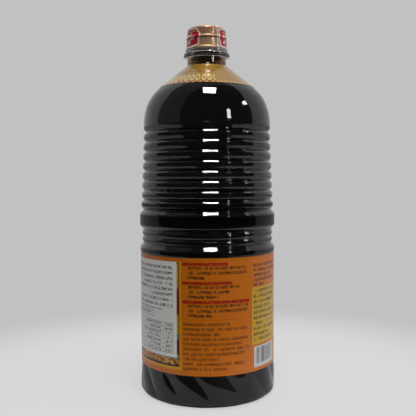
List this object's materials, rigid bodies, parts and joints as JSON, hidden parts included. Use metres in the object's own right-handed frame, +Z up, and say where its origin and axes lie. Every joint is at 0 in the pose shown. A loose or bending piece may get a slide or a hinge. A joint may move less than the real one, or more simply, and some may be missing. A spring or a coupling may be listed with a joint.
{
  "type": "soy sauce bottle",
  "caption": "large round clear bottle of dark sauce with a ribbed grip, swirled base, domed shoulder, gold cap under clear film, wrap label and sticker",
  "frame": {"origin": "centre of the ring that the bottle stands on, at floor height", "axes": "+Z up along the bottle's axis; the front, in the middle of the label's text panel, faces -Y"},
  "size_m": [0.106, 0.106, 0.2839],
  "materials": {
    "clear_plastic": "clear, glossy, blow-moulded",
    "dark_sauce": "dark clear liquid",
    "gold_plastic": "pearly gold moulded plastic",
    "clear_film": "clear shrink film",
    "printed_wrap": "glossy printed wrap",
    "gold_paper": "glossy gold print",
    "white_paper": "white sticker paper"
  },
  "bodies": {
    "root": {"bottle": "clear_plastic", "soy_sauce": "dark_sauce", "cap_collar": "gold_plastic", "cap_lid": "gold_plastic", "cap_film": "clear_film", "main_label": "printed_wrap", "shoulder_label": "gold_paper", "sticker": "white_paper"}
  },
  "joints": []
}
